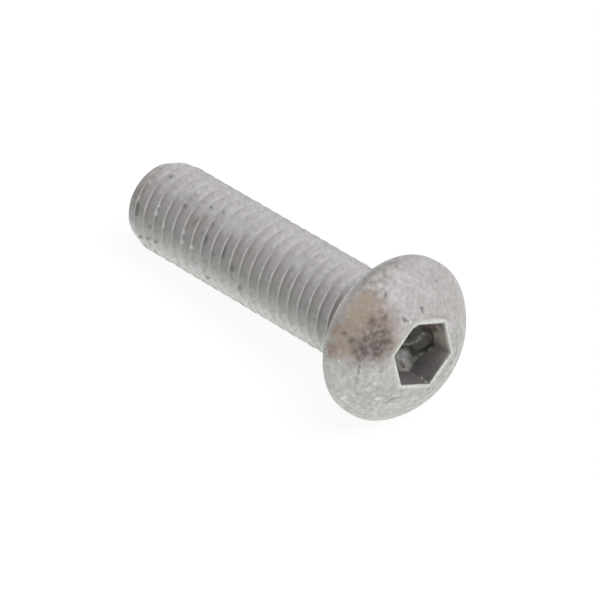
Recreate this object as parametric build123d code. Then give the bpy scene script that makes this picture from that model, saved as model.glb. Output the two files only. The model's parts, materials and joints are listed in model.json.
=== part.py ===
from build123d import *
import os
from math import atan2, ceil, cos, degrees, hypot, pi, radians, tan

# A button-head socket screw with a rolled right-hand thread, M8 x 1.25 x 30, in millimetres.
# It is one piece of steel: domed head, hex socket, flared plain neck and threaded shank.
# It is drawn upright on its own axis, with the bearing face of the head at z = 0 and the tip
# below, and is then laid down as it comes to rest on a table. In the upright drawing the +X
# side is the side that it will lie on.

# Thread
major_diameter = 7.84
pitch = 1.25
thread_depth_per_pitch = 0.6134
first_crest_from_tip = 1.72

# Shank
shank_length = 29.6
tip_diameter = 6.95
tip_taper_length = 1.55
neck_length = 1.5
run_out_length = 1.2
neck_flare = 0.4

# Head
head_diameter = 13.9
head_height = 4.1
rim_height = 0.95
rim_edge_chamfer = 0.2
crown_diameter = 6.96

# Hex socket
socket_across_flats = 5.05
socket_depth = 2.6
socket_bottom_angle = 130
socket_mouth_chamfer = 0.2
socket_turn = 9.2

# How far one solid reaches into another where the two are joined, and how far a cutting
# shape stands clear of what it cuts
overlap = 0.05
clear = 1.0

# How far the seams of the turned faces and of the thread stand from the +X side, in degrees
turned_seam = 60
thread_seam = 180

# Sizes that follow from those above
major_radius = major_diameter / 2
thread_depth = thread_depth_per_pitch * pitch
root_radius = major_radius - thread_depth
neck_radius = major_radius - thread_depth / 2
tip_radius = tip_diameter / 2
head_radius = head_diameter / 2
crown_radius = crown_diameter / 2


def turned(*outline):
    """The solid turned about the screw's axis from an outline of (radius, height) corners and edges.

    Its seam is turned clear of the +X side, on which the screw lies.
    """
    with BuildSketch(Plane.XZ) as section:
        with BuildLine():
            for edge in outline:
                add(edge)
        make_face()
    return revolve(section.sketch, Axis.Z).rotate(Axis.Z, turned_seam)


def helix(radius, height):
    """One right-hand turn of the thread that starts at this height."""
    return Edge.make_helix(pitch, pitch, radius, center=(0, 0, height))


def threaded_bar():
    """A bar with a thread all the way, longer than the shank at both ends.

    Its skin is two ruled ribbons a turn, root to crest and crest to root. Each end is closed by a
    ramp from the root line to the axis and by a flat step where the turns start, which is lower than
    the same crest on the +X side by its share of a turn.
    """
    seam_drop = pitch * thread_seam / 360
    turns_below_tip = ceil((first_crest_from_tip + pitch / 2) / pitch)
    start = -shank_length + first_crest_from_tip - pitch / 2 - turns_below_tip * pitch - seam_drop
    turns = ceil((-neck_length - start) / pitch)
    skin = []
    for turn in range(turns):
        foot = start + turn * pitch
        root, crest, next_root = (
            helix(root_radius, foot),
            helix(major_radius, foot + pitch / 2),
            helix(root_radius, foot + pitch),
        )
        skin.append(Face.make_surface_from_curves(root, crest))
        skin.append(Face.make_surface_from_curves(crest, next_root))
    for foot in (start, start + turns * pitch):
        on_axis = Edge.make_line((0, 0, foot), (0, 0, foot + pitch))
        skin.append(Face.make_surface_from_curves(helix(root_radius, foot), on_axis))
        step = [
            (0, 0, foot),
            (root_radius, 0, foot),
            (major_radius, 0, foot + pitch / 2),
            (root_radius, 0, foot + pitch),
            (0, 0, foot + pitch),
        ]
        skin.append(Face(Wire.make_polygon(step, close=True)))
    shell = Face.sew_faces(skin)[0]
    return Solid(Shell(shell)).rotate(Axis.Z, -thread_seam)


def shank_envelope():
    """The room the thread may fill: a tapered tip, and a taper where the crests run out by the neck."""
    clear_radius = major_radius + clear
    tip_slope = tip_taper_length / (major_radius - tip_radius)
    run_out_slope = run_out_length / (major_radius - neck_radius)
    inner_radius = neck_radius - overlap
    neck_foot = -neck_length
    return turned(
        Polyline(
            (0, -shank_length),
            (tip_radius, -shank_length),
            (clear_radius, -shank_length + (clear_radius - tip_radius) * tip_slope),
            (clear_radius, neck_foot - (clear_radius - neck_radius) * run_out_slope),
            (inner_radius, neck_foot + overlap * run_out_slope),
            (0, neck_foot + overlap * run_out_slope),
            (0, -shank_length),
        )
    )


def dome():
    """The arc from the rim to the crown, round a centre on the screw's axis, so that it turns into a sphere."""
    rise = head_height - rim_height
    centre_height = (crown_radius**2 - head_radius**2 + head_height**2 - rim_height**2) / (2 * rise)
    radius = hypot(head_radius, rim_height - centre_height)
    return RadiusArc((head_radius, rim_height), (crown_radius, head_height), -radius)


def head_and_neck():
    """The domed head without its socket, on a plain neck that flares into the bearing face and whose
    foot fades into the thread's root.
    """
    inner_radius = root_radius - overlap
    plain_lead = run_out_length / 4
    fade_top = -neck_length - plain_lead
    fade_foot = fade_top - run_out_length
    neck = Polyline(
        (0, fade_foot),
        (inner_radius, fade_foot),
        (neck_radius, fade_top),
        (neck_radius, -neck_flare),
        (neck_radius + neck_flare, 0),
    )
    rim = Polyline(
        neck @ 1,
        (head_radius - rim_edge_chamfer, 0),
        (head_radius, rim_edge_chamfer),
        (head_radius, rim_height),
    )
    crown = Polyline((crown_radius, head_height), (0, head_height), (0, fade_foot))
    return turned(neck, rim, dome(), crown)


def socket():
    """What the punch takes out: a hexagon with a pointed bottom and a chamfered mouth."""
    point_slope = 1 / tan(radians(socket_bottom_angle / 2))
    flat_radius = socket_across_flats / 2
    corner_radius = flat_radius / cos(pi / 6)
    bottom = head_height - socket_depth - flat_radius * point_slope
    hexagon = RegularPolygon(flat_radius, 6, major_radius=False, rotation=socket_turn)
    flats = Pos(0, 0, bottom - clear) * extrude(hexagon, head_height - bottom + clear)
    wide_radius = corner_radius + clear
    pointed = turned(
        Polyline(
            (0, bottom),
            (wide_radius, bottom + wide_radius * point_slope),
            (wide_radius, head_height + clear),
            (0, head_height + clear),
            (0, bottom),
        )
    )
    mouth_foot = Pos(0, 0, head_height - socket_mouth_chamfer) * hexagon
    mouth_top = Pos(0, 0, head_height) * RegularPolygon(
        flat_radius + socket_mouth_chamfer, 6, major_radius=False, rotation=socket_turn
    )
    return (flats & pointed) + loft([mouth_foot.face(), mouth_top.face()])


def lay_angle():
    """How steeply the screw lies, in degrees, on the foot of its rim and on its first full crest."""
    tapered = max(0, ceil((tip_taper_length - first_crest_from_tip) / pitch))
    crest_height = -shank_length + first_crest_from_tip + tapered * pitch
    return degrees(atan2(head_radius - major_radius, rim_edge_chamfer - crest_height))


shank = threaded_bar() & shank_envelope()
screw = shank + head_and_neck() - socket()
laid = screw.rotate(Axis.Y, 90 - lay_angle())
box = laid.bounding_box()
laid = Pos(-box.center().X, -box.center().Y, -box.min.Z) * laid

os.makedirs("parts", exist_ok=True)
export_step(laid, "parts/button_head_screw.step")
print("lies at", round(lay_angle(), 3), "degrees; box", box.size)
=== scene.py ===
# %% [markdown]
# # A used button-head screw
# This lesson dresses one small steel screw: a domed head with a hexagon socket, and a shank with a thread
# all the way. The screw has been screwed in and out, so its dull coating is mottled, its thread crests are
# rubbed bright on one side, where a painted highlight lies on them too, and one side of the head is stained
# brown.
# The solid model of the screw is loaded first and stays where it is. It is one piece, so the scene has
# one mesh, which takes the solid's place with the same sizes and finer form.

# %% Load the solid model as the fixed frame
import json
import math
import random

import bmesh
import bpy
import numpy as np
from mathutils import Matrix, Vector, noise
from mathutils.bvhtree import BVHTree


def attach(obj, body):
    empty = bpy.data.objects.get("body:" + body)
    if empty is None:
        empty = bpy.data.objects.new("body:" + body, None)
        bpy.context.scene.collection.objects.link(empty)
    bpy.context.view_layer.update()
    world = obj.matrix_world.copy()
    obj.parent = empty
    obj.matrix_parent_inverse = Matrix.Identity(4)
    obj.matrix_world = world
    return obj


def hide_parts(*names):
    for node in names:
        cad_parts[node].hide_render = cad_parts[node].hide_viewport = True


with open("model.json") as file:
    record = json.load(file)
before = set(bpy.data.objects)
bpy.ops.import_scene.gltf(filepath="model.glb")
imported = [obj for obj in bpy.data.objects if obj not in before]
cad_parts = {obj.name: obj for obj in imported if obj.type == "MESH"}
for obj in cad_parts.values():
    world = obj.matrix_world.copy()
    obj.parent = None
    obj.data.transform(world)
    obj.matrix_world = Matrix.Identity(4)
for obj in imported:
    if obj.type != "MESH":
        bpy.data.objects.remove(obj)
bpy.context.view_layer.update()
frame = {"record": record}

# %% [markdown]
# ## The screw's own axes
# The screw lies on its rim and on the thread, so its axis is a little steep. It is far easier to model
# it standing up on its own axis and to lay it down at the end. The record of the solid says where the
# middle of the tip and the middle of the crown are, and two points are enough to find the axis.
# All sizes of the screw are in millimetres, because that is how a screw is measured. They become metres
# in the one function that lays the screw down. Its bearing face, under the head, is at height 0.

# %% Find the axis, and make the function that lays the screw down
MM = 0.001
head_height = 4.1
places = {mount["name"]: Vector(mount["pos_m"]) for mount in frame["record"]["mounts"]}
tip_centre = places["thread"]
crown_centre = places["hex_socket"]
along = (crown_centre - tip_centre).normalized()
down = Vector((along.z, 0.0, -along.x))
side = along.cross(down)
axes = np.array([down, side, along])
bearing_centre = crown_centre - along * head_height * MM
shank_length = (bearing_centre - tip_centre).length / MM


def laid(points):
    """Points of the upright screw, in millimetres, laid down in the frame, in metres."""
    return np.array(bearing_centre) + np.asarray(points) @ axes * MM


print("shank under the head:", round(shank_length, 2), "mm; axis", tuple(round(x, 4) for x in along))

# %% [markdown]
# ## Camera
# The picture was taken from far away with a long lens: the far end of the screw is hardly smaller than
# the near one. A camera can be placed by eye, but here the thread's pitch, the rims and the hexagon's
# corners fix it well enough to state an azimuth, an elevation and a distance. The camera is then moved
# across, so that the middle of the bearing face falls on its own pixel of the picture.

# %% Place the camera
picture_size = 600
picture_middle = picture_size / 2
bearing_column = 389.945
bearing_row = 335.379
azimuth = math.radians(51.06)
elevation = math.radians(35.98)
distance = 0.61168
focal_pixels = 7721.0
sensor_width = 36.0

back = Vector((
    math.sin(azimuth) * math.cos(elevation),
    -math.cos(azimuth) * math.cos(elevation),
    math.sin(elevation),
))
right = Vector((math.cos(azimuth), math.sin(azimuth), 0.0))
up = back.cross(right)
metres_a_pixel = distance / focal_pixels
camera_place = (
    bearing_centre
    + back * distance
    - right * (bearing_column - picture_middle) * metres_a_pixel
    + up * (bearing_row - picture_middle) * metres_a_pixel
)

camera = bpy.data.objects.new("camera", bpy.data.cameras.new("camera"))
bpy.context.scene.collection.objects.link(camera)
camera.location = camera_place
camera.rotation_euler = (-back).to_track_quat("-Z", "Y").to_euler()
camera.data.sensor_width = sensor_width
camera.data.lens = focal_pixels * sensor_width / picture_size
camera.data.clip_start = 0.01
camera.data.clip_end = 20.0
bpy.context.scene.camera = camera
print("lens", round(camera.data.lens, 1), "mm; a pixel is", round(metres_a_pixel / MM, 4), "mm at the head")

# %% [markdown]
# ## The thread's profile
# A thread like this is rolled: dies press the roots in and squeeze the crests out. A section through it
# shows a narrow flat crest, two flanks that lean 30 degrees, and a rounded root. A zigzag would be
# simpler, but it is the flat crest that catches the light as a thin bright line, and the round root
# that stays dark without a hard line in it. So the section is written as a formula of the distance from
# the crest's middle, and sampled where it bends.

# %% Write the section of one thread
pitch = 1.25
crest_radius = 3.92
crest_half_flat = pitch / 16
flank_angle = math.radians(30)
root_round = 0.18
thread_depth = 0.767
arc_start = pitch / 2 - root_round * math.cos(flank_angle)
half_section = [0.0, crest_half_flat, 0.12, 0.2, 0.3, 0.4, arc_start, 0.52, 0.575]


def depth_at(offset):
    """How far the section lies under the crest, at this distance along the axis from a crest's middle."""
    away = abs(offset)
    if away <= crest_half_flat:
        return 0.0
    if away < arc_start:
        flank_end = thread_depth - root_round + root_round * math.sin(flank_angle)
        return flank_end * (away - crest_half_flat) / (arc_start - crest_half_flat)
    from_root = pitch / 2 - away
    return thread_depth - root_round + math.sqrt(root_round**2 - from_root**2)


section_offsets = [-pitch / 2] + [-x for x in reversed(half_section[1:])] + half_section
print("points in a thread's section:", len(section_offsets))

# %% [markdown]
# ## The shank as a helical grid
# The section could be swept along a helix with a curve, or turned with the Screw modifier. A grid made
# by hand keeps more control: its rows follow the helix, so that each crest is one clean line of
# vertices, and its columns run along the axis. The grid is made a few turns too long, because its rows
# end on a slant and the real bar is cut off square.

# %% Lay the section out along the helix
first_crest = 1.72
columns = 128
spare_turns = 2

rows_a_turn = len(section_offsets)
turns = math.ceil(shank_length / pitch) + 2 * spare_turns
lowest_crest = -shank_length + first_crest - (spare_turns + 1) * pitch
row_heights = np.array([lowest_crest + t * pitch + x for t in range(turns) for x in section_offsets])
row_depths = np.array([depth_at(x) for x in section_offsets] * turns)
angles = np.arange(columns) / columns * 2 * math.pi
grid_height = row_heights[:, None] + pitch * angles[None, :] / (2 * math.pi)
grid_depth = np.repeat(row_depths[:, None], columns, axis=1)
print("the grid has", len(row_heights), "rows of", columns, "points")

# %% [markdown]
# ## Tapered tip and plain neck
# A thread doesn't begin or end at once. At the tip its first turns are lower, which helps the screw
# into its hole, and near the head they run out into a plain neck. Both could be cut with a boolean,
# which would leave ragged edges on the crests. Here the radius of each point is held under a cone with
# a rounded end at the tip, and fades into the neck's radius near the head.

# %% Hold the radius under a cone at the tip, and let it fade into the neck
tip_radius = 3.475
tip_taper = 1.55
tip_round = 0.35
neck_radius = 3.537
fade_start = -3.0
fade_end = -1.5


def held(values):
    """The values held between 0 and 1."""
    return np.clip(values, 0, 1)


from_end = np.clip(grid_height + shank_length, 0, tip_round)
cone = tip_radius + (grid_height + shank_length) * (crest_radius - tip_radius) / tip_taper
cone = cone - tip_round + np.sqrt(tip_round**2 - (tip_round - from_end) ** 2)
fade = held((grid_height - fade_start) / (fade_end - fade_start))
fade = fade * fade * (3 - 2 * fade)
grid_radius = np.minimum(crest_radius - grid_depth, cone)
grid_radius = grid_radius * (1 - fade) + neck_radius * fade
grid_points = np.stack(
    [grid_radius * np.cos(angles), grid_radius * np.sin(angles), grid_height], axis=-1
).reshape(-1, 3)
print("the grid's largest radius is", round(float(grid_radius.max()), 3), "mm")

# %% [markdown]
# ## Faces, and two square cuts
# Quads join each row to the next. Where the last column meets the first, row number r meets row number
# r + one section, and that is all that makes it a thread and not a pile of rings. Two cuts across the
# axis then give the shank its length. Where a row crosses a cut at a point of the grid, the cut leaves
# two points almost in one place, so these are merged: else the tip's skin would fold there.

# %% Join the rows and cut the grid to length
neck_cut = -1.3
merge_distance = 0.00015


def grid_faces():
    """Quads between the rows, which shift by one section where the last column meets the first."""
    rows = len(row_heights)
    faces = []
    for r in range(rows - 1):
        for c in range(columns - 1):
            a = r * columns + c
            faces.append((a, a + 1, a + columns + 1, a + columns))
        if r + rows_a_turn + 1 < rows:
            a = r * columns + columns - 1
            b = (r + rows_a_turn) * columns
            faces.append((a, b, b + columns, a + columns))
    return faces


shank_mesh = bpy.data.meshes.new("shank_grid")
shank_mesh.from_pydata(grid_points.tolist(), [], grid_faces())
shank_grid = bmesh.new()
shank_grid.from_mesh(shank_mesh)
bpy.data.meshes.remove(shank_mesh)
for height, outward in ((neck_cut, 1), (-shank_length, -1)):
    bmesh.ops.bisect_plane(
        shank_grid,
        geom=shank_grid.verts[:] + shank_grid.edges[:] + shank_grid.faces[:],
        plane_co=(0, 0, height),
        plane_no=(0, 0, outward),
        clear_outer=True,
    )
loose = [v for v in shank_grid.verts if not v.link_faces]
bmesh.ops.delete(shank_grid, geom=loose, context="VERTS")
bmesh.ops.remove_doubles(shank_grid, verts=shank_grid.verts[:], dist=merge_distance)
shank_grid.verts.index_update()
print("the shank's grid:", len(shank_grid.verts), "vertices,", len(shank_grid.faces), "faces")

# %% [markdown]
# ## One list of points for the whole screw
# The shank, the head and the socket are one piece of steel, so they become one closed skin. Three
# meshes joined with booleans would leave slivers where they meet. Here points and faces are gathered
# in two plain lists, which start with the shank's own. The head and the tip go on from the two rings of
# points that the cuts left.

# %% Start the skin with the shank, and find the rings that the cuts left
points = [tuple(v.co) for v in shank_grid.verts]
skin = [tuple(v.index for v in f.verts) for f in shank_grid.faces]
shank_grid.free()


def angle_round(number):
    """The angle of a point round the screw's axis, from 0 to a full turn."""
    x, y = points[number][:2]
    return math.atan2(y, x) % (2 * math.pi)


def cut_ring(height):
    """The points that a cut left at this height, in the order of their angle."""
    found = [i for i, p in enumerate(points) if abs(p[2] - height) < merge_distance]
    return sorted(found, key=angle_round)


neck_ring = cut_ring(neck_cut)
tip_ring = cut_ring(-shank_length)
print("cut rings: neck", len(neck_ring), "points, tip", len(tip_ring), "points")

# %% [markdown]
# ## Rings, and the bands between them
# All that is left to make runs round the axis, so it is made of rings. A ring is a list of point numbers
# in the order of their angle. Two rings are joined by quads if they have as many points, or by a zip of
# triangles if not: the zip always takes the next point of the ring that has fallen behind.

# %% Make the functions that add rings and join them
def add_ring(radii, heights, ring_angles):
    """Adds a ring of points and returns their numbers. A radius or height may be one for all of them."""
    start = len(points)
    for radius, height, angle in zip(*np.broadcast_arrays(radii, heights, ring_angles)):
        points.append((radius * math.cos(angle), radius * math.sin(angle), height))
    return list(range(start, len(points)))


def join_rings(low, high):
    """A band of quads between two rings with as many points each."""
    count = len(low)
    for i in range(count):
        j = (i + 1) % count
        skin.append((low[i], low[j], high[j], high[i]))


def zip_rings(low, high):
    """A band of triangles between two rings whose points don't match."""

    def angle_of(ring, step):
        return angle_round(ring[step % len(ring)]) + 2 * math.pi * (step // len(ring))

    i = j = 0
    while i < len(low) or j < len(high):
        a, b = low[i % len(low)], high[j % len(high)]
        if j == len(high) or (i < len(low) and angle_of(low, i + 1) <= angle_of(high, j + 1)):
            i += 1
            skin.append((a, low[i % len(low)], b))
        else:
            j += 1
            skin.append((a, high[j % len(high)], b))


def lead_on(last_ring, radii, heights, join=join_rings):
    """Adds a ring of the head, joins it to the last one and returns it."""
    new_ring = add_ring(radii, heights, head_angles)
    join(last_ring, new_ring)
    return new_ring


print("the shank has brought", len(points), "points and", len(skin), "faces")

# %% [markdown]
# ## Outline of the head
# The head was upset from the bar in a die, which leaves a smooth domed top, a short upright rim with
# rounded edges, a flat bearing face and a fillet where the neck meets it. All of that is round, so it
# is drawn as one outline of (radius, height) points, to be turned like clay on a wheel. The dome is
# part of a sphere, and its centre follows from the rim and the crown. Flat stretches get points of
# their own, so that the shading stays flat there.

# %% Draw the head's outline
neck_heights = (neck_cut + 0.1, -0.9, -0.6)
neck_fillet = 0.4
head_radius = 6.95
rim_height = 0.95
rim_round = 0.2
shoulder_round = 0.2
crown_radius = 3.48
bearing_from = 4.15
bearing_to = head_radius - rim_round - 0.1
upright_from = 0.3
shoulder_points = ((0.012, -0.07), (0.045, 0.03))

dome_centre = (crown_radius**2 - head_radius**2 + head_height**2 - rim_height**2) / (
    2 * (head_height - rim_height)
)
dome_radius = math.hypot(head_radius, rim_height - dome_centre)
dome_low = math.degrees(math.atan2(rim_height - dome_centre, head_radius))
dome_high = math.degrees(math.atan2(head_height - dome_centre, crown_radius))
shoulder_swing = shoulder_round / dome_radius * math.degrees(1)


def arc(centre, radius, start, end, steps):
    """Points of an arc in the outline, with its angles in degrees."""
    swing = np.radians(np.linspace(start, end, steps + 1))
    return [(centre[0] + radius * math.cos(a), centre[1] + radius * math.sin(a)) for a in swing]


outline = [(neck_radius, height) for height in neck_heights]
outline += arc((neck_radius + neck_fillet, -neck_fillet), neck_fillet, 180, 90, steps=8)
outline += [(radius, 0.0) for radius in np.linspace(bearing_from, bearing_to, 8)]
outline += arc((head_radius - rim_round, rim_round), rim_round, -90, 0, steps=6)
outline += [(head_radius, z) for z in np.linspace(upright_from, rim_height - shoulder_round, 6)]
outline += [(head_radius - inwards, rim_height + upwards) for inwards, upwards in shoulder_points]
outline += arc((0, dome_centre), dome_radius, dome_low + shoulder_swing, dome_high, steps=54)
print("dome radius", round(dome_radius, 2), "mm;", len(outline), "points in the outline")

# %% [markdown]
# ## Turning the head
# The outline could be turned with the Screw modifier. Made as rings, the head can run on into the
# socket without a seam: each ring has 50 points to a side of the hexagon, and one of them at each
# corner. The neck's last ring comes from the shank's grid and has its points elsewhere, so the first
# band is a zip.

# %% Turn the outline into rings
socket_turn = math.radians(9.2)
head_columns = 300
head_angles = (socket_turn + np.arange(head_columns) / head_columns * 2 * math.pi) % (2 * math.pi)
head_angles = np.roll(head_angles, -int(np.argmin(head_angles)))

ring = neck_ring
for radius, height in outline:
    ring = lead_on(ring, radius, height, zip_rings if ring is neck_ring else join_rings)
print("rings in the head:", len(outline), "; points so far:", len(points))

# %% [markdown]
# ## Hexagon of the socket
# A punch drives the socket into the crown. It leaves six flat walls, a small chamfer at the mouth and a
# shallow cone at the bottom. The corners aren't quite sharp, and one of them is blunter than the rest.
# So the hexagon is written as a radius for each column: the distance to a flat wall, but never more
# than a limit, which is lower round the blunt corner.

# %% Write the hexagon as a radius for each column
socket_half_width = 2.525
socket_depth = 2.6
socket_bottom_angle = 130
mouth_chamfer = 0.2
corner_round_radius = 2.885
blunting = 0.17
blunt_width = math.radians(16)
bottom_slope = 1 / math.tan(math.radians(socket_bottom_angle / 2))
cone_point = head_height - socket_depth - socket_half_width * bottom_slope


def from_flat(angle):
    """How far an angle is from the middle of the nearest wall of the socket."""
    return (angle - socket_turn) % (math.pi / 3) - math.pi / 6


def hexagon(half_width, limit):
    """The radius of a hexagon in each column, with its corners cut to a limit, and one of them blunted."""
    from_blunt = (head_angles - socket_turn) % (2 * math.pi) - math.pi
    limit = limit - blunting * np.exp(-(from_blunt / blunt_width) ** 2)
    return np.minimum(half_width / np.cos(from_flat(head_angles)), limit)


mouth = hexagon(socket_half_width + mouth_chamfer, corner_round_radius + mouth_chamfer)
walls = hexagon(socket_half_width, corner_round_radius)
wall_foot = cone_point + walls * bottom_slope
print("the socket is", 2 * socket_half_width, "mm across; its point is at", round(cone_point, 2), "mm")

# %% [markdown]
# ## Crown, walls and bottom of the socket
# A boolean cut would leave long thin faces round the hole, which shade badly. Here the same columns go on
# inwards: the rings are pulled from a circle to the hexagon, round the chamfer, go down the walls and
# close on the cone's point. Even the flat parts get many rings, because the layers of the finish below
# are kept on the points, and where points are far apart a small mark would blur.

# %% Lead the rings over the crown, down the walls and over the cone
crown_shares = (0.12, 0.25, 0.4, 0.55, 0.7, 0.82, 0.91, 0.97)
chamfer_steps = 5
wall_steps = 14
cone_steps = 14
wall_top = head_height - mouth_chamfer

for share in crown_shares:
    ring = lead_on(ring, crown_radius + (mouth - crown_radius) * share, head_height)
for step in range(chamfer_steps + 1):
    swing = math.pi / 2 * step / chamfer_steps
    drop = mouth_chamfer * (1 - math.cos(swing))
    ring = lead_on(ring, walls + (mouth - walls) * (1 - math.sin(swing)), head_height - drop)
inside_from = len(points)
for step in range(1, wall_steps + 1):
    ring = lead_on(ring, walls, wall_top + (wall_foot - wall_top) * step / wall_steps)
bottom_from = len(points)
for step in range(1, cone_steps):
    radii = walls * (1 - step / cone_steps)
    ring = lead_on(ring, radii, cone_point + radii * bottom_slope)
points.append((0.0, 0.0, cone_point))
for i in range(head_columns):
    skin.append((ring[i], ring[(i + 1) % head_columns], len(points) - 1))
inside_to = len(points)
print("points on the socket's walls and bottom:", inside_to - inside_from)

# %% [markdown]
# ## Tip
# The bar is sheared off before the thread is rolled, which leaves a flat end with a faint dish. One
# large face would be simpler, but it can't be dished. So rings shrink towards the axis. Each new ring is
# named first where it is joined, so that the faces look outwards, away from the head.

# %% Close the tip
tip_dish = 0.12
flat_radius = 2.95
tip_radii = (flat_radius, 2.8, 2.5, 2.2, 1.8, 1.4, 1.0, 0.6, 0.25)

ring = tip_ring
for radius in tip_radii:
    sunk = tip_dish * (1 - (radius / flat_radius) ** 2)
    new_ring = add_ring(radius, -shank_length + sunk, angles)
    if ring is tip_ring:
        zip_rings(new_ring, ring)
    else:
        join_rings(new_ring, ring)
    ring = new_ring
points.append((0.0, 0.0, -shank_length + tip_dish))
for i in range(columns):
    skin.append((ring[(i + 1) % columns], ring[i], len(points) - 1))
points = np.array(points)
print("the whole skin:", len(points), "points,", len(skin), "faces")

# %% [markdown]
# ## One mesh, and the way back from the picture
# The dents, pits and stains of a used screw are what make it this screw. To put them in their places, a
# ray is shot from the camera through the pixel where a mark shows, and where it meets the skin is the
# mark's middle. A tree of the skin's faces makes that fast. The skin's smooth normals say which way is
# out, so that a pit can be pressed in.

# %% Make the mesh and the tree that rays are shot at
stained_pixel = (364, 326)
mesh = bpy.data.meshes.new("button_head_screw_finished")
mesh.from_pydata(laid(points).tolist(), [], skin)
mesh.validate()
mesh.update()
tree = BVHTree.FromPolygons([v.co for v in mesh.vertices], skin)
normals = np.zeros(len(mesh.vertices) * 3)
mesh.vertex_normals.foreach_get("vector", normals)
upright_normals = normals.reshape(-1, 3) @ axes.T


def sight(column, row):
    """The direction from the camera through a pixel of the picture."""
    across = (column - picture_middle) / focal_pixels
    below = (row - picture_middle) / focal_pixels
    return (right * across - up * below - back).normalized()


def under(column, row):
    """The place on the upright screw, in millimetres, that a pixel of the picture shows."""
    hit = tree.ray_cast(camera_place, sight(column, row))[0]
    if hit is None:
        raise ValueError(f"the screw is not under pixel {column}, {row}")
    return axes @ (np.array(hit) - np.array(bearing_centre)) / MM


open_edges = len(mesh.edges) - len(mesh.polygons) - len(mesh.vertices) + 2
print("edges left over by Euler's count (0 means one closed skin):", open_edges)
print("the picture's stained patch is at", np.round(under(*stained_pixel), 2), "mm")

# %% [markdown]
# ## Where each point is
# Wavering crests, wear and dust all depend on where a point is: how far from the axis, at which angle,
# how high, and how far along the axis from the nearest crest. They could be asked for point by point,
# but numpy works them out for all points at once. Being on a crest is a number from 0 to 1 that falls
# off quickly at the flanks.

# %% Measure every point against the axis and the thread
crest_fall = 0.04
thread_top = fade_start + 0.6
least_thread_radius = 3.1
tip_margin = 0.02

radius_of = np.hypot(points[:, 0], points[:, 1])
angle_of_point = np.arctan2(points[:, 1], points[:, 0]) % (2 * math.pi)
height_of = points[:, 2]
crest_line = -shank_length + first_crest + pitch * angle_of_point / (2 * math.pi)
off_crest = np.abs((height_of - crest_line + pitch / 2) % pitch - pitch / 2)
on_shank = (height_of < thread_top) & (height_of > -shank_length + tip_margin)
on_thread = on_shank & (radius_of > least_thread_radius)
crest = held(1 - (off_crest - crest_half_flat) / crest_fall) * on_thread
print("points on the thread:", int(on_thread.sum()), "; on its crests:", int((crest > 0.5).sum()))

# %% [markdown]
# ## Wavering crests
# On the real screw each crest was squeezed out of the root by the dies, so that its line wavers. Noise
# along the crest moves it in and out by a hair, and along the axis by a little more. A bump map could
# not do this, because the crests stand against the white background at the edge of the shank.

# %% Move the crests in and out, and along the axis
long_lift = 0.010
long_waves = 1.3
short_lift = 0.008
short_waves = 4.0
crest_slip = 0.035
slip_waves = 0.9
slip_start = Vector((31, 7, 3))

moved = np.zeros((len(points), 3))
for i in np.nonzero(on_thread)[0]:
    place = Vector(points[i])
    out_x, out_y = points[i][:2] / radius_of[i]
    lift = long_lift * noise.noise(place * long_waves) + short_lift * noise.noise(place * short_waves)
    slip = crest_slip * noise.noise(place * slip_waves + slip_start) * crest[i]
    moved[i] = (out_x * lift * crest[i], out_y * lift * crest[i], slip)
print("the crests waver by up to", round(float(np.abs(moved).max()), 3), "mm")

# %% [markdown]
# ## Nicked crests
# Other steel has nicked the crests wherever they knocked against it. A few dozen nicks are pressed into
# the crests at random places. The dice start from a fixed seed, so that the screw is the same in every
# run.

# %% Nick the crests
nick_seed = 8
nick_count = 90
nick_widths = (0.12, 0.35)
nick_depths = (0.02, 0.07)
nick_bluntness = 0.7

dice = random.Random(nick_seed)
crest_points = list(np.nonzero(crest > 0.9)[0])
outwards = points[:, :2] / np.maximum(radius_of, 0.1)[:, None]
for _ in range(nick_count):
    middle = points[dice.choice(crest_points)]
    width = dice.uniform(*nick_widths)
    depth = dice.uniform(*nick_depths)
    near = held(1 - np.linalg.norm(points - middle, axis=1) / width)
    moved[:, :2] -= outwards * (depth * near**nick_bluntness * crest)[:, None]
print("crest points:", len(crest_points), "; deepest shift", round(float(np.abs(moved).max()), 3), "mm")

# %% [markdown]
# ## Pits, dents and scratches on the head
# Each mark has a pixel, a width and a depth in millimetres, and a darkness. A pit is narrow, a dent wide
# and shallow, and a scratch runs between two pixels. They could be sculpted by hand, but a list is
# easier to hold against the picture and to correct.

# %% List the marks
pit_marks = [
    (422.4, 308.0, 0.16, 0.05, 0.9), (405.0, 320.4, 0.24, 0.05, 0.8), (385.5, 295.2, 0.17, 0.04, 0.7),
    (436.2, 280.9, 0.14, 0.03, 0.7), (409.0, 274.0, 0.13, 0.03, 0.4), (398.0, 312.0, 0.18, 0.02, 0.3),
    (354.7, 363.4, 0.13, 0.04, 0.8), (381.4, 371.3, 0.14, 0.03, 0.6), (448.0, 319.4, 0.15, 0.03, 0.4),
    (453.0, 328.3, 0.14, 0.03, 0.4), (415.5, 401.0, 0.18, 0.04, 0.6), (371.5, 409.3, 0.18, 0.04, 0.6),
    (357.0, 394.0, 0.15, 0.03, 0.4), (451.0, 363.4, 0.24, 0.05, 0.5), (376.0, 345.0, 0.22, 0.02, 0.5),
    (359.0, 357.5, 0.16, 0.03, 0.5), (380.0, 347.0, 0.16, 0.03, 0.5), (366.0, 338.0, 0.14, 0.02, 0.4),
]
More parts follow.
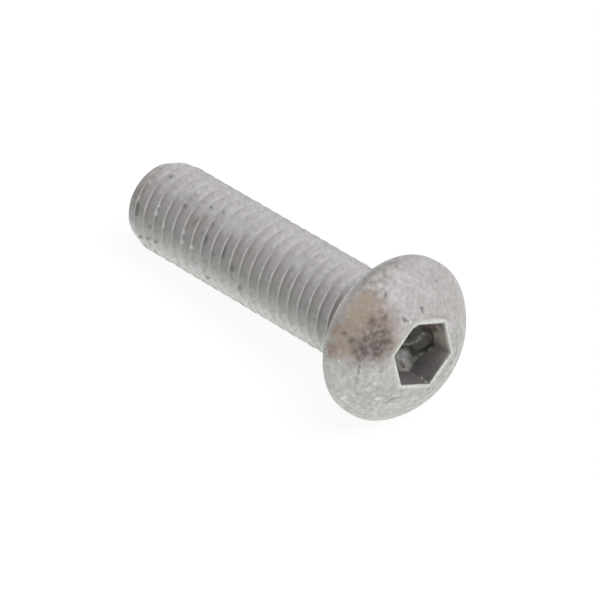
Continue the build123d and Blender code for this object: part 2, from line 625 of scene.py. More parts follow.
scratch_marks = [
    ((359.6, 365.0), (358.0, 374.0), 0.11, 0.03, 0.6), ((358.0, 374.0), (354.2, 390.0), 0.10, 0.02, 0.3),
    ((387.0, 402.4), (392.0, 399.0), 0.11, 0.04, 0.6), ((392.0, 399.0), (398.0, 397.5), 0.10, 0.04, 0.5),
    ((457.2, 336.0), (455.4, 357.0), 0.10, 0.04, 0.7), ((423.0, 312.5), (421.0, 307.5), 0.11, 0.04, 0.8),
    ((433.6, 381.8), (427.9, 389.8), 0.10, 0.03, 0.5), ((403.0, 317.8), (409.0, 322.4), 0.12, 0.03, 0.7),
    ((424.0, 314.0), (447.0, 318.5), 0.12, 0.02, 0.25), ((386.6, 293.0), (384.8, 298.0), 0.11, 0.03, 0.6),
]
print("marks on the head:", len(pit_marks), "pits and dents,", len(scratch_marks), "scratches")

# %% [markdown]
# ## Pressing the marks in
# Every mark has the same soft round profile across it, as if a blunt point had made it. The points near
# it move inwards against their normals. How dark each point gets is kept as a number, which the finish
# reads later: dirt stays in a pit.

# %% Press the marks into the head
slack = 0.01
on_head = height_of > -slack
pit = np.zeros(len(points))


def distance_to_line(start, end):
    """How far each point is from a straight line between two places."""
    run = end - start
    share = held((points - start) @ run / (run @ run))
    return np.linalg.norm(points - start - share[:, None] * run, axis=1)


def press_in(away, width, depth, darkness):
    """Presses the points of the head near a mark in, and darkens them."""
    near = held(1 - away / width) * on_head
    moved[:] -= upright_normals * (depth * near * near * (3 - 2 * near))[:, None]
    pit[:] = np.maximum(pit, darkness * held(near * 2))


for column, row, width, depth, darkness in pit_marks:
    press_in(np.linalg.norm(points - under(column, row), axis=1), width, depth, darkness)
for start, end, width, depth, darkness in scratch_marks:
    press_in(distance_to_line(under(*start), under(*end)), width, depth, darkness)
print("points darkened by marks:", int((pit > 0.1).sum()))

# %% [markdown]
# ## Dirt on the socket's bottom
# Dirt is packed in the socket, so the cone at its bottom is lumpy, and one of its corners is heaped up.
# A separate lump of dirt would show a hard line where it meets the steel. So noise lifts and sinks the
# bottom's own points, and a soft heap stands in the corner.

# %% Make the bottom lumpy and heap dirt in one corner
lump_height = 0.12
wide_lumps = 1.6
fine_lumps = 4.0
heap_height = 0.35
heap_reach = 1.3
heap_angle = socket_turn + math.pi / 3

lumps = np.zeros(len(points))
for i in range(bottom_from, inside_to):
    place = Vector(points[i])
    lumps[i] = noise.noise(place * wide_lumps) + 0.5 * noise.noise(place * fine_lumps)
moved[:, 2] += lump_height * lumps
heap_middle = np.array([
    corner_round_radius * math.cos(heap_angle),
    corner_round_radius * math.sin(heap_angle),
    wall_foot.max(),
])
in_heap = held(1 - np.linalg.norm(points - heap_middle, axis=1) / heap_reach)
in_heap[:bottom_from] = 0
moved[:, 2] += heap_height * in_heap
print("the dirt rises by up to", round(float(moved[bottom_from:inside_to, 2].max()), 2), "mm")

# %% [markdown]
# ## Layers that tell the finish where it is
# A finish that knows where it is can be rubbed bright on edges and stained in one place. It could be
# painted on the mesh by hand. Here each point gets a number in each of some named layers, because a
# number is easy to correct: 1 is fully in the stain or on the worn edge, and 0 is clear of it. Layers
# are put together from soft round spots and from lines, both given by pixels of the picture, and from
# lobes. A lobe is full at one angle round the screw, in degrees from the side that it lies on, and
# fades to both sides.

# %% Make the functions that layers are put together from
layers = {"pit": pit}


def soft(away, reach):
    """1 near the middle of something, fading to 0 a little past its reach."""
    return held(1.3 - away / reach)


def spread(spots):
    """How deep each point is in the nearest of some soft round spots."""
    deepest = np.zeros(len(points))
    for column, row, reach in spots:
        away = np.linalg.norm(points - under(column, row), axis=1)
        deepest = np.maximum(deepest, soft(away, reach))
    return deepest


def streaks(lines, reach):
    """How near each point is to some lines through pixels of the picture."""
    nearest = np.full(len(points), np.inf)
    for line in lines:
        ends = [under(*pixel) for pixel in line]
        for start, end in zip(ends, ends[1:]):
            nearest = np.minimum(nearest, distance_to_line(start, end))
    return soft(nearest, reach)


def lobe(middle, width):
    """1 at one angle round the screw, in degrees, and fading to both sides of it."""
    apart = (np.degrees(angle_of_point) - middle + 180) % 360 - 180
    return np.exp(-(apart / width) ** 2)


def with_lobes(start, sides):
    """A value plus some lobes, each with its middle and its width in degrees, and its strength."""
    return sum((strength * lobe(middle, width) for middle, width, strength in sides), start)


print("functions for", len(points), "points; layers so far:", list(layers))

# %% [markdown]
# ## Worn and dusty thread, with painted light and shade
# Along a band that faces the camera, the crests are rubbed to a thin bright line, which is partly a painted
# highlight, and the flanks beside them are dark, partly from rubbing and partly from painted shade. On both
# sides of that band the flanks and roots are lighter, partly with pale dust and partly with painted light
# that lifts the shade in the grooves, the crests are dull and darkened with painted shade, and the coating
# is painted paler where light falls on the top and the low side. A few pale smears run over some threads,
# and the edge of the tip is dark. All these follow the shank, so most of them are lobes times the distance
# from the crest. The far side, which the camera doesn't see, gets the same kinds of wear.

# %% Write the thread's layers
# Where the crest lines are bright: worn metal with a painted highlight on it.
worn_and_lit_crest_sides = [(230, 16, 1.0), (54, 60, 0.4)]
# Where the flanks are dark: rubbed coating and painted shade.
rubbed_and_shaded_sides = [(236, 31, 1.2), (54, 60, 0.5)]
# Where the flanks and roots are pale: dust, and painted light that lifts the shade in the grooves.
dust_and_light_sides = [(168, 42, 1.0), (302, 42, 1.5)]
# Where the crests are darkened: dull coating with painted shade.
dulled_and_shaded_sides = [(172, 25, -0.45), (208, 14, 0.4), (260, 18, 0.7), (300, 22, -0.7)]
# Where the coating is painted paler: painted light from the floor on the low side and from above on the
# top.
painted_light_sides = [(294, 18, 1.0), (160, 20, 0.45)]
low_middle = 330
bright_line_width = 0.11
dark_flank_reach = 0.40
dust_from = 0.2
dust_rise = 0.3
tip_edge_height = 0.3
smear_cover = 0.45
smear_spots = [
    (213, 210, 0.8), (226, 222, 0.9), (239, 228, 0.8), (254, 232, 0.5), (232, 212, 0.7), (297, 262, 0.6),
    (181, 190, 0.6),
]

smear = spread(smear_spots)
flank = held(1 - (off_crest - crest_half_flat) / dark_flank_reach) * on_thread * (1 - crest)
dust_and_light_side = held(with_lobes(0, dust_and_light_sides))
# The bright crest line is partly worn metal and partly a painted highlight.
layers["crest"] = held(1 - off_crest / bright_line_width) * crest * held(with_lobes(0, worn_and_lit_crest_sides))
# Dark flanks beside the crests: partly rubbed coating, partly painted shade.
layers["rubbed_and_shaded"] = flank * (held(with_lobes(0, rubbed_and_shaded_sides)) * (1 - smear_cover * smear))
# Pale flanks and roots: dust, and painted light that lifts the shade in the grooves.
layers["dust_and_painted_light"] = held((off_crest - dust_from) / dust_rise) * on_thread * dust_and_light_side
# Crests darkened with painted shade, over a dull coating.
layers["dulled_and_shaded"] = crest * held(with_lobes(dust_and_light_side, dulled_and_shaded_sides))
# Coating painted paler where light falls on it: painted light.
layers["painted_light_side"] = on_thread * held(with_lobes(0, painted_light_sides))
# How far a point faces the floor. It sets a greenish painted bounce light and the strength of the mottling.
layers["low_side"] = 0.5 + 0.5 * np.cos(angle_of_point - math.radians(low_middle))
layers["smear"] = smear * on_thread
layers["tip_edge"] = held(1 - (height_of + shank_length) / tip_edge_height) * (radius_of > flat_radius)
print("layers so far:", list(layers))

# %% [markdown]
# ## The socket's mouth and the rim's foot
# On one side of the socket the dirt reaches over the chamfer. The edge round the mouth is bright, because
# the key rubs there, and part of the rim's foot carries a painted highlight. Nothing in the form marks
# where a bright edge ends, so its width is a layer's business: it is measured from the wall outwards, and
# lobes make it wider in some places.

# %% Write the layers of the mouth and the edges
dirty_sides = [(40, 72, 4.0)]
dirty_width = 0.08
dirty_width_sides = [(125, 80, 0.10)]
dirty_fall = 0.05
edge_width = 0.18
edge_width_sides = [(152, 24, 0.19), (235, 34, 0.08)]
wider_by_dirt = 0.07
# The rim's foot gets a painted highlight, a thin bright line along it.
rim_foot_height = 0.19
rim_foot_reach = 0.12
rim_foot_sides = [(213, 24, 1.0), (30, 60, 0.4)]

numbers = np.arange(len(points))
past_wall = radius_of * np.cos(from_flat(angle_of_point)) - socket_half_width
near_mouth = (height_of > head_height - mouth_chamfer - slack) & (numbers < inside_from)
dirty_side = held(with_lobes(0, dirty_sides))
dirty_lip = held((with_lobes(dirty_width, dirty_width_sides) - past_wall) / dirty_fall)
dirty_lip = dirty_lip * near_mouth * dirty_side
bright_width = with_lobes(edge_width, edge_width_sides) + wider_by_dirt * dirty_side
edge = held(3 - 2 * past_wall / bright_width) * near_mouth * (1 - dirty_lip)
# A painted highlight along the rim's foot, kept in the edge layer with the worn mouth.
rim_foot_highlight = soft(np.abs(height_of - rim_foot_height), rim_foot_reach) * (radius_of > head_radius - rim_round)
layers["edge"] = np.maximum(edge, rim_foot_highlight * held(with_lobes(0, rim_foot_sides)))
print("points on a bright edge:", int((layers["edge"] > 0.5).sum()))

# %% [markdown]
# ## Dirt, rust, painted shade and painted highlights in the socket
# The walls and the bottom are dark with dirt. Darker lines of painted shade run where the walls meet the
# bottom and each other, with a dark chip among them, short painted highlights run along the wall feet with
# a few glints, one wall and one part of the bottom are pale, and there are reddish spots of rust. They are
# small and each has its place, so each is a line or a spot through given pixels.

# %% Write the socket's layers
# Lines of painted shade along the creases where the walls meet the bottom and each other.
socket_shade_lines = [
    [(400.3, 347.3), (409.0, 345.0), (414.7, 354.8), (424.4, 349.6)],
    [(424.4, 349.6), (432.5, 344.4), (433.0, 336.0), (430.5, 330.0)],
    [(403.0, 341.5), (408.0, 336.5)], [(424.0, 328.0), (429.0, 332.0)],
]
# Painted highlights along the wall feet.
socket_highlight_lines = [
    [(403.2, 344.4), (409.0, 344.0), (413.0, 342.5), (416.5, 340.0)], [(419.9, 353.6), (414.7, 359.9)],
    [(423.9, 352.5), (421.0, 355.9)], [(432.5, 347.3), (429.0, 349.6)], [(434.5, 333.0), (434.6, 343.0)],
    [(399.5, 367.0), (401.0, 369.5), (405.0, 370.0), (408.0, 368.3)],
]
socket_highlight_spots = [
    (419.3, 337.6, 0.2), (422.5, 333.5, 0.14), (425.6, 381.8, 0.14), (421.6, 378.3, 0.14),
    (438.2, 327.8, 0.16),
]
chip_spots = [(403.8, 367.4, 0.17)]
pale_bottom_spots = [(401, 356, 0.9), (404, 362, 0.7), (399, 352, 0.6)]
reddish_spots = [(429.6, 327.0, 0.5), (434.0, 328.0, 0.5), (404.0, 367.4, 0.22), (401.5, 364.5, 0.25)]
pale_wall_middle = 92
pale_wall_width = 30
shade_line_reach = 0.28
highlight_line_reach = 0.11

inside = np.maximum((numbers >= inside_from) & (numbers < inside_to), dirty_lip)
bottom = ((numbers >= bottom_from) & (numbers < inside_to)).astype(float)
# Painted highlights along the wall feet, and a few glints.
socket_highlights = np.maximum(streaks(socket_highlight_lines, highlight_line_reach) * 0.8, spread(socket_highlight_spots))
# Painted shade along the creases, and one dark chip.
crease_shade_and_chip = np.maximum(streaks(socket_shade_lines, shade_line_reach), 1.2 * spread(chip_spots))
layers["inside"] = inside
layers["bottom"] = bottom
layers["pale_wall"] = lobe(pale_wall_middle, pale_wall_width) * inside * (1 - bottom)
layers["pale_bottom"] = spread(pale_bottom_spots) * bottom
layers["reddish"] = spread(reddish_spots) * inside
layers["highlight_inside"] = socket_highlights * inside
layers["crease_shade_and_chip_inside"] = np.minimum(crease_shade_and_chip * inside, 1)
print("points in the socket and on its dirty lip:", int((inside > 0.5).sum()))

# %% [markdown]
# ## Stains and shades on the head
# Rust has stained one side of the dome: brown, almost black in patches, and ochre towards the edge of
# the stain. There is a little of it on the thread as well. The dome beyond it has a grey shade. One
# large soft spot would look like a shadow, so each stain is many small ones that overlap, and its
# outline is as uneven as the real one's.

# %% Write the layers of the stains
stain_spots = [
    (361, 316, 1.6), (377, 318, 1.6), (384, 327, 1.3), (370, 332, 1.9), (351, 329, 1.6), (378, 344, 1.7),
    (360, 344, 1.8), (343, 345, 1.3), (387, 344, 1.1), (341, 330, 1.1), (367, 304, 1.2), (332, 350, 0.8),
]
tip_stain_spots = [(146, 176, 1.3), (139, 190, 1.0), (156, 168, 0.9), (196, 222, 0.6), (203, 219, 0.5)]
ochre_spots = [
    (361, 310, 1.0), (366, 303, 0.8), (356, 318, 0.8), (347, 334, 0.9), (349, 347, 0.9), (352, 308, 0.7),
]
purple_spots = [
    (376, 347, 1.1), (384, 340, 0.8), (364, 349, 0.9), (378, 345, 0.7), (376, 353, 0.6), (362, 346, 0.6),
    (366, 339, 0.5), (356, 350, 0.5), (381, 330, 0.5), (360, 358, 0.4), (374, 333, 0.4), (352, 341, 0.4),
    (344, 333, 0.3), (371, 322, 0.4), (384, 318, 0.3),
]
shade_spots = [(366, 281, 1.5), (376, 272, 1.3), (371, 290, 1.2), (383, 268, 1.0), (392, 264, 0.8)]
tip_stain_strength = 0.5
head_tone = 0.8
head_tone_sides = [(85, 45, 0.5)]

on_dome = on_head * (1 - inside)
tip_stain = tip_stain_strength * spread(tip_stain_spots) * on_thread
layers["head"] = on_dome * with_lobes(head_tone, head_tone_sides)
layers["stain"] = np.maximum(spread(stain_spots) * on_dome, tip_stain)
layers["ochre"] = spread(ochre_spots) * on_dome
layers["purple"] = spread(purple_spots) * on_dome
layers["shade"] = spread(shade_spots) * on_head
print("points in the stain:", int((layers["stain"] > 0.3).sum()))

# %% [markdown]
# ## Small bright and dark marks
# Chips that show bright steel and specks of black dirt are scattered over the head and the thread. They
# are too small to need any form of their own: a colour is enough. Speckle made by noise would do from
# far off, but these are the ones that the picture shows.

# %% Write the layers of the small marks
bright_spots = [
    (377, 399, 0.24), (380, 398.4, 0.22), (374.5, 395, 0.14), (394, 395.5, 0.15), (368, 390, 0.2),
    (369, 387.5, 0.15), (343, 398.5, 0.2), (346, 397, 0.16), (361, 371, 0.13), (374.5, 383.6, 0.15),
    (347, 402, 0.18), (410.4, 322.4, 0.15), (412.5, 316, 0.12), (339, 361, 0.13), (373, 402.5, 0.12),
    (156.2, 213.5, 0.17), (163.0, 225.8, 0.16), (183.4, 232.4, 0.18), (181.9, 241.8, 0.17),
    (191.7, 247.6, 0.2), (138.4, 197.6, 0.16), (145.0, 184.1, 0.14), (199.3, 191.9, 0.14),
    (231.5, 208.3, 0.16), (221.7, 226.0, 0.14), (159.0, 205.0, 0.14), (150.0, 181.5, 0.14),
]
bright_arcs = [[(459.4, 348.0), (455.6, 360.0), (450.6, 369.5)]]
dark_spots = [
    (170.8, 176.4, 0.2), (147.6, 238.7, 0.17), (150.1, 226.7, 0.15), (207.8, 277.7, 0.18),
    (211.3, 207.4, 0.18), (223.6, 212.0, 0.16), (212.7, 224.1, 0.14), (239.1, 287.8, 0.2),
    (185.1, 205.7, 0.2), (155.9, 241.8, 0.15), (140.4, 236.7, 0.18), (212.7, 253.9, 0.14),
]
dark_lines = [
    [(138.1, 202.8), (136.0, 214.3)], [(207.0, 235.5), (204.1, 243.6)], [(225.9, 246.5), (222.5, 256.8)],
    [(231.9, 267.0), (231.3, 270.0)],
]
arc_reach = 0.12
dark_reach = 0.11

layers["light"] = np.maximum(spread(bright_spots), 0.8 * streaks(bright_arcs, arc_reach))
layers["dark"] = np.maximum(spread(dark_spots) * 0.8, streaks(dark_lines, dark_reach))
print("bright marks:", len(bright_spots) + len(bright_arcs), "; dark:", len(dark_spots) + len(dark_lines))

# %% [markdown]
# ## The finished mesh
# The layers are stored on the mesh as attributes, which a material can read by name. The place on the
# upright screw goes with them, so that the grain follows the screw and not the table. Only now are the
# points moved, because every ray had to meet the screw as it was before its marks. Smooth shading with
# sharp edges above an angle keeps the edges of crests and walls crisp and the dome round.

# %% Store the layers and make the object
sharp_angle = math.radians(38)

for name, values in layers.items():
    layer = mesh.attributes.new(name, "FLOAT", "POINT")
    layer.data.foreach_set("value", values.astype(np.float32))
layer = mesh.attributes.new("upright", "FLOAT_VECTOR", "POINT")
layer.data.foreach_set("vector", points.astype(np.float32).ravel())
mesh.vertices.foreach_set("co", laid(points + moved).astype(np.float32).ravel())
mesh.update()
mesh.shade_smooth()
mesh.set_sharp_from_angle(angle=sharp_angle)
screw = bpy.data.objects.new("button_head_screw_finished", mesh)
bpy.context.scene.collection.objects.link(screw)
triangles = sum(len(p.vertices) - 2 for p in mesh.polygons)
print("layers:", sorted(layers), "; triangles:", triangles)

# %% [markdown]
# ## Tools for mixing the finish
# A material is a chain of nodes. Here it is like painting: one coat is laid over another, and each has
# a share that says where it covers. A share is a layer of the mesh, often times a noise, which breaks
# it up. Some thirty coats linked one by one would be hard to read, so short functions make the nodes.

# %% Make the functions that add nodes
finish = bpy.data.materials.new("coated_steel_worn")
finish.use_nodes = True
nodes = finish.node_tree.nodes
links = finish.node_tree.links
shader = nodes["Principled BSDF"]


def value_of(name):
    """The socket that gives one layer of the mesh."""
    node = nodes.new("ShaderNodeAttribute")
    node.attribute_name = name
    return node.outputs["Fac"]


def noise_of(scale, detail):
    """Noise in the upright screw's millimetres, from 0 to 1."""
    place = nodes.new("ShaderNodeAttribute")
    place.attribute_name = "upright"
    texture = nodes.new("ShaderNodeTexNoise")
    texture.inputs["Scale"].default_value = scale
    texture.inputs["Detail"].default_value = detail
    links.new(place.outputs["Vector"], texture.inputs["Vector"])
    return texture.outputs["Fac"]


def between(socket, low, high, to_low, to_high):
    """The socket's value, stretched from low..high to another range and held inside it."""
    node = nodes.new("ShaderNodeMapRange")
    node.inputs["From Min"].default_value = low
    node.inputs["From Max"].default_value = high
    node.inputs["To Min"].default_value = to_low
    node.inputs["To Max"].default_value = to_high
    links.new(socket, node.inputs["Value"])
    return node.outputs["Result"]


def times(a, b):
    """One socket times another socket or a number."""
    node = nodes.new("ShaderNodeMath")
    node.operation = "MULTIPLY"
    links.new(a, node.inputs[0])
    if isinstance(b, float):
        node.inputs[1].default_value = b
    else:
        links.new(b, node.inputs[1])
    return node.outputs[0]


def coat(under_colour, colour, share):
    """Lays a colour over another where the share says so."""
    node = nodes.new("ShaderNodeMix")
    node.data_type = "RGBA"
    links.new(under_colour, node.inputs["A"])
    node.inputs["B"].default_value = (*colour, 1)
    links.new(share, node.inputs["Factor"])
    return node.outputs["Result"]


def layer_coat(under_colour, colour, layer_name, share):
    """Lays a colour over another where a layer of the mesh says so, times a noise or a number."""
    return coat(under_colour, colour, times(value_of(layer_name), share))


print("the finish starts with", len(nodes), "nodes")

# %% [markdown]
# ## Coating
# The screw has a dull zinc-flake coating: a light grey that is mottled where its flakes lie thick or thin.
# A single grey would look like plastic, so the grey is broken up by noise of three sizes: patches of some
# millimetres, flecks of about half a millimetre, and grain. The head is darker than the shank. The side
# that faces the floor is tinted greenish, which is painted light bounced from the floor, and the mottling
# is a little stronger towards that side.

# %% Mix the coating
coating = (0.47, 0.445, 0.44)
# The greenish tint of the side that faces the floor is painted bounce light.
greenish_bounce_light = (0.45, 0.46, 0.43)
head_coating = (0.35, 0.335, 0.32)
pale_patch = (0.50, 0.48, 0.485)
dark_fleck = (0.27, 0.27, 0.245)
pale_fleck = (0.64, 0.64, 0.63)
dark_grain = (0.20, 0.20, 0.19)
pale_grain = (0.74, 0.75, 0.73)

patches = noise_of(0.45, 3)
flecks = noise_of(2.4, 4)
grain = noise_of(6.0, 3)
mottled = between(value_of("low_side"), 0.1, 0.7, 0.4, 0.6)
base = nodes.new("ShaderNodeRGB")
base.outputs[0].default_value = (*coating, 1)
# A greenish painted bounce light on the side that faces the floor.
colour = layer_coat(base.outputs[0], greenish_bounce_light, "low_side", 0.9)
colour = layer_coat(colour, head_coating, "head", 0.6)
colour = coat(colour, pale_patch, between(patches, 0.45, 0.65, 0, 0.6))
colour = coat(colour, dark_fleck, times(between(flecks, 0.50, 0.68, 0, 0.8), mottled))
colour = coat(colour, pale_fleck, times(between(flecks, 0.46, 0.32, 0, 0.6), mottled))
colour = coat(colour, dark_grain, times(between(grain, 0.62, 0.74, 0, 0.5), mottled))
colour = coat(colour, pale_grain, times(between(grain, 0.36, 0.26, 0, 0.4), mottled))
print("nodes after the coating:", len(nodes))

# %% [markdown]
# ## Finish of the thread, with painted light and shade
# Dust with painted light in the grooves, crests dulled and darkened with painted shade, the side painted
# paler where the light falls, and the smears are laid on the thread, and over them the flanks, dark from
# rubbing and painted shade. The order matters, because each coat hides some of what lies under it.

# %% Lay dust, wear, painted light and painted shade on the thread
# Pale grey of dust, which is also painted light that lifts the shade in the grooves.
dust_and_light_grey = (0.62, 0.625, 0.635)
# Dark grey of the crests: dull coating and painted shade.
shaded_dull_crest = (0.34, 0.34, 0.34)
# Pale grey that is painted light on the top and the low side.
painted_light_grey = (0.72, 0.725, 0.725)
smeared_coating = (0.54, 0.54, 0.545)
# The dark flank colour is rubbed coating and painted shade.
dark_flank_wear_and_shade = (0.125, 0.112, 0.105)

colour = layer_coat(colour, dust_and_light_grey, "dust_and_painted_light", between(flecks, 0.4, 0.6, 0.8, 0.45))
colour = layer_coat(colour, shaded_dull_crest, "dulled_and_shaded", 0.85)
colour = layer_coat(colour, painted_light_grey, "painted_light_side", between(flecks, 0.35, 0.65, 0.6, 0.35))
colour = layer_coat(colour, smeared_coating, "smear", 0.45)
colour = layer_coat(colour, dark_flank_wear_and_shade, "rubbed_and_shaded", between(flecks, 0.35, 0.6, 0.97, 0.8))
print("nodes after the thread:", len(nodes))

# %% [markdown]
# ## Finish of the stains
# Rust isn't one colour. The brown comes first, then ochre and the dark purplish patches, and last a few
# pale specks. One more noise, finer and rougher than the flecks, gives all the dirt its ragged edges.

# %% Lay the shade and the rust stains on the head
shaded_coating = (0.25, 0.25, 0.22)
rust_brown = (0.245, 0.185, 0.15)
rust_ochre = (0.36, 0.30, 0.22)
rust_purple = (0.095, 0.08, 0.077)
rust_pale = (0.38, 0.33, 0.29)

dirty = noise_of(3.0, 5)
colour = layer_coat(colour, shaded_coating, "shade", between(flecks, 0.35, 0.6, 0.2, 0.7))
colour = layer_coat(colour, rust_brown, "stain", between(dirty, 0.35, 0.6, 0.65, 1))
colour = layer_coat(colour, rust_ochre, "ochre", between(dirty, 0.35, 0.65, 0.3, 0.7))
colour = layer_coat(colour, rust_purple, "purple", between(dirty, 0.42, 0.6, 0.5, 0.95))
colour = layer_coat(colour, rust_pale, "stain", between(dirty, 0.42, 0.32, 0, 0.25))
print("nodes after the stains:", len(nodes))

# %% [markdown]
# ## Finish of the socket
# A socket is dark in a photograph for two reasons: little light gets in, and it is full of dirt. The
# renderer does the first by itself, so most colours here are those of the dirt, the pale wall and bottom
# and the rust. Over them go painted shade along the creases, with a dark chip, and painted highlights along
# the wall feet with a few glints.

# %% Lay dirt, rust, painted shade and painted highlights in the socket
socket_dirt = (0.095, 0.088, 0.084)
pale_wall_grey = (0.48, 0.435, 0.39)
bottom_dirt = (0.13, 0.125, 0.105)
pale_bottom_grey = (0.58, 0.57, 0.55)
# Near black of the painted shade in the creases and of the chip.
crease_shade_black = (0.018, 0.015, 0.010)
rust_red = (0.16, 0.085, 0.07)
# Pale grey of the painted highlights in the socket.
socket_highlight_grey = (0.62, 0.60, 0.54)

colour = layer_coat(colour, socket_dirt, "inside", between(dirty, 0.35, 0.6, 0.80, 0.90))
colour = layer_coat(colour, pale_wall_grey, "pale_wall", between(dirty, 0.4, 0.6, 0.9, 0.7))
colour = layer_coat(colour, bottom_dirt, "bottom", between(dirty, 0.4, 0.6, 0.5, 1))
colour = layer_coat(colour, pale_bottom_grey, "pale_bottom", between(dirty, 0.4, 0.6, 1, 0.6))
colour = layer_coat(colour, crease_shade_black, "crease_shade_and_chip_inside", 0.8)
colour = layer_coat(colour, rust_red, "reddish", between(dirty, 0.4, 0.6, 0.3, 0.9))
colour = layer_coat(colour, socket_highlight_grey, "highlight_inside", between(grain, 0.65, 0.4, 0.3, 1))
print("nodes after the socket:", len(nodes))

# %% [markdown]
# ## Rubbed edges with painted highlights, and small marks
# What happened last lies on top: pits full of dirt, the bright crest lines and edges, which are partly
# painted highlights, chips and specks, and the dark edge of the tip.

# %% Lay the bright edges and the small marks
pit_dirt = (0.13, 0.12, 0.12)
# The bright crest colour is worn metal with a painted highlight in it.
worn_crest_and_highlight = (0.51, 0.50, 0.48)
# The bright edge colour is worn metal round the mouth and a painted highlight on the rim's foot.
worn_edge_and_highlight = (0.595, 0.60, 0.565)
bright_chip = (0.69, 0.70, 0.68)
dark_speck = (0.07, 0.07, 0.065)
dark_tip = (0.14, 0.15, 0.13)

colour = coat(colour, pit_dirt, value_of("pit"))
colour = layer_coat(colour, worn_crest_and_highlight, "crest", between(flecks, 0.58, 0.42, 0.3, 1))
colour = layer_coat(colour, worn_edge_and_highlight, "edge", between(dirty, 0.62, 0.42, 0.45, 1))
colour = layer_coat(colour, bright_chip, "light", between(dirty, 0.65, 0.45, 0.3, 0.85))
colour = coat(colour, dark_speck, value_of("dark"))
colour = layer_coat(colour, dark_tip, "tip_edge", 0.7)
print("nodes after the marks:", len(nodes))

# %% [markdown]
# ## Surface
# Zinc flakes are metal in a clear binder, so the coating is only a little metallic and nearly matte,
# and rougher where the flecks are dark. The grain also stands up a little. That is far too small for
# points of the mesh, so it is a bump, and a bump is enough where no outline shows it.

# %% Set the surface and give it to the mesh
links.new(colour, shader.inputs["Base Color"])
shader.inputs["Metallic"].default_value = 0.15
links.new(between(flecks, 0.35, 0.65, 0.62, 0.8), shader.inputs["Roughness"])
bump = nodes.new("ShaderNodeBump")
bump.inputs["Strength"].default_value = 0.35
bump.inputs["Distance"].default_value = 0.00003
links.new(grain, bump.inputs["Height"])
links.new(bump.outputs["Normal"], shader.inputs["Normal"])
mesh.materials.append(finish)
print("the finish mixes", len(nodes), "nodes")

# %% [markdown]
# ## Tools for the floor and the background
# The picture is a cut-out on pure white. A white floor under a lamp would still be shaded grey, and a
# brighter lamp would wash out the screw. The way out is to show the camera one thing and the screw
# another. The Light Path node knows which kind of ray asks for a colour: camera, mirror and glass rays
# see the white room, and the rest find the light that falls on the screw.

# %% Make the functions that mix paints
def seen_rays(tree_of_nodes):
    """A socket that is 1 for camera, mirror and glass rays, and 0 for the rest."""
    path = tree_of_nodes.nodes.new("ShaderNodeLightPath")
    total = path.outputs["Is Camera Ray"]
    for name in ("Is Glossy Ray", "Is Transmission Ray"):
        add = tree_of_nodes.nodes.new("ShaderNodeMath")
        add.operation = "MAXIMUM"
        tree_of_nodes.links.new(total, add.inputs[0])
        tree_of_nodes.links.new(path.outputs[name], add.inputs[1])
        total = add.outputs[0]
    return total


def flat_paint(tree_of_nodes, colour):
    """A plain paint."""
    node = tree_of_nodes.nodes.new("ShaderNodeBsdfDiffuse")
    node.inputs["Color"].default_value = (*colour, 1)
    return node.outputs[0]


def glowing_paint(tree_of_nodes, colour, strength):
    """A paint that shines by itself."""
    node = tree_of_nodes.nodes.new("ShaderNodeEmission")
    node.inputs["Color"].default_value = (*colour, 1)
    node.inputs["Strength"].default_value = strength
    return node.outputs[0]


def mixed(tree_of_nodes, first, second, share):
    """Two paints in one. A share of 0 is all the first, and 1 all the second."""
    node = tree_of_nodes.nodes.new("ShaderNodeMixShader")
    tree_of_nodes.links.new(first, node.inputs[1])
    tree_of_nodes.links.new(second, node.inputs[2])
    if isinstance(share, float):
        node.inputs["Fac"].default_value = share
    else:
        tree_of_nodes.links.new(share, node.inputs["Fac"])
    return node.outputs[0]


floor_paint = bpy.data.materials.new("white_floor")
floor_paint.use_nodes = True
paint = floor_paint.node_tree
paint.nodes.clear()
print("the floor's paint starts with", len(paint.nodes), "nodes")

# %% [markdown]
# ## Floor
# What the camera sees of the floor is mostly a white glow, with enough plain paint in it to take the
# screw's soft shadow. What the screw gets from it is another mix: a pale floor that glows as well,
# because the low side of the screw in the picture is lit from below.

# %% Make the floor
floor_half = 3.0
pure_white = (1, 1, 1)
shadow_white = (0.95, 0.95, 0.95)
pale_ground = (0.80, 0.81, 0.79)
low_light = (0.97, 1.0, 0.96)

seen_floor = mixed(paint, flat_paint(paint, shadow_white), glowing_paint(paint, pure_white, 1.05), 0.85)
lit_floor = mixed(paint, flat_paint(paint, pale_ground), glowing_paint(paint, low_light, 2.0), 0.65)
whole_floor = mixed(paint, lit_floor, seen_floor, seen_rays(paint))
result = paint.nodes.new("ShaderNodeOutputMaterial")
paint.links.new(whole_floor, result.inputs["Surface"])

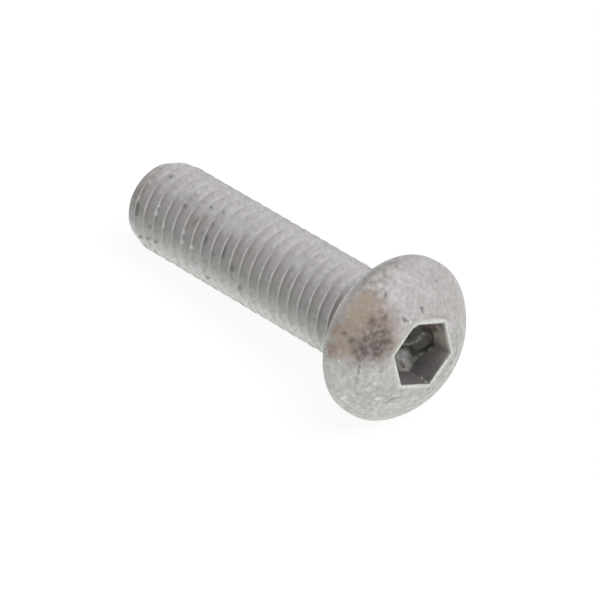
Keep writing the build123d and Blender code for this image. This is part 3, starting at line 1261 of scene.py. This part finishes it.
floor_mesh = bpy.data.meshes.new("floor")
floor_mesh.from_pydata(
    [(-floor_half, -floor_half, 0), (floor_half, -floor_half, 0),
     (floor_half, floor_half, 0), (-floor_half, floor_half, 0)],
    [],
    [(0, 1, 2, 3)],
)
floor_mesh.materials.append(floor_paint)
floor = bpy.data.objects.new("floor", floor_mesh)
bpy.context.scene.collection.objects.link(floor)
print("floor", 2 * floor_half, "m wide")

# %% [markdown]
# ## Background
# The world is white where it is seen, and a dim, faintly blue sky where it lights the screw: a bright
# world would light all sides of it alike and take the form out of it.

# %% Make the white background
dim_strength = 0.3
dim_colour = (0.93, 0.94, 1.0)

world = bpy.data.worlds.new("white_room")
bpy.context.scene.world = world
world.use_nodes = True
air = world.node_tree
background = air.nodes["Background"]
background.inputs["Color"].default_value = (*pure_white, 1)
background.inputs["Strength"].default_value = 1.0
dim = air.nodes.new("ShaderNodeBackground")
dim.inputs["Color"].default_value = (*dim_colour, 1)
dim.inputs["Strength"].default_value = dim_strength
whole_world = mixed(air, dim.outputs[0], background.outputs[0], seen_rays(air))
air.links.new(whole_world, air.nodes["World Output"].inputs["Surface"])
print("the world lights the screw with a strength of", dim_strength)

# %% [markdown]
# ## Lamp
# The picture has soft, even studio light. A sun or a small lamp would draw hard shadows in the thread,
# so one large square lamp hangs over the screw, a little to the right.

# %% Hang the lamp
lamp_place = (0.38, 0.12, 0.83)
lamp_width = 0.7
lamp_power = 7.0
lamp_colour = (1.0, 0.98, 1.0)

lamp = bpy.data.objects.new("soft_lamp", bpy.data.lights.new("soft_lamp", "AREA"))
lamp.data.shape = "SQUARE"
lamp.data.size = lamp_width
lamp.data.energy = lamp_power
lamp.data.color = lamp_colour
lamp.location = lamp_place
lamp.rotation_euler = (-lamp.location).to_track_quat("-Z", "Y").to_euler()
bpy.context.scene.collection.objects.link(lamp)
bpy.context.scene.view_settings.view_transform = "Standard"
print("one lamp of", lamp.data.energy, "W,", round(lamp.location.length, 2), "m from the screw")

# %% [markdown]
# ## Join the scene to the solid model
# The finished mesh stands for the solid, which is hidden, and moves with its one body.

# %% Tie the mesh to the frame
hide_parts("button_head_screw")
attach(screw, "root")
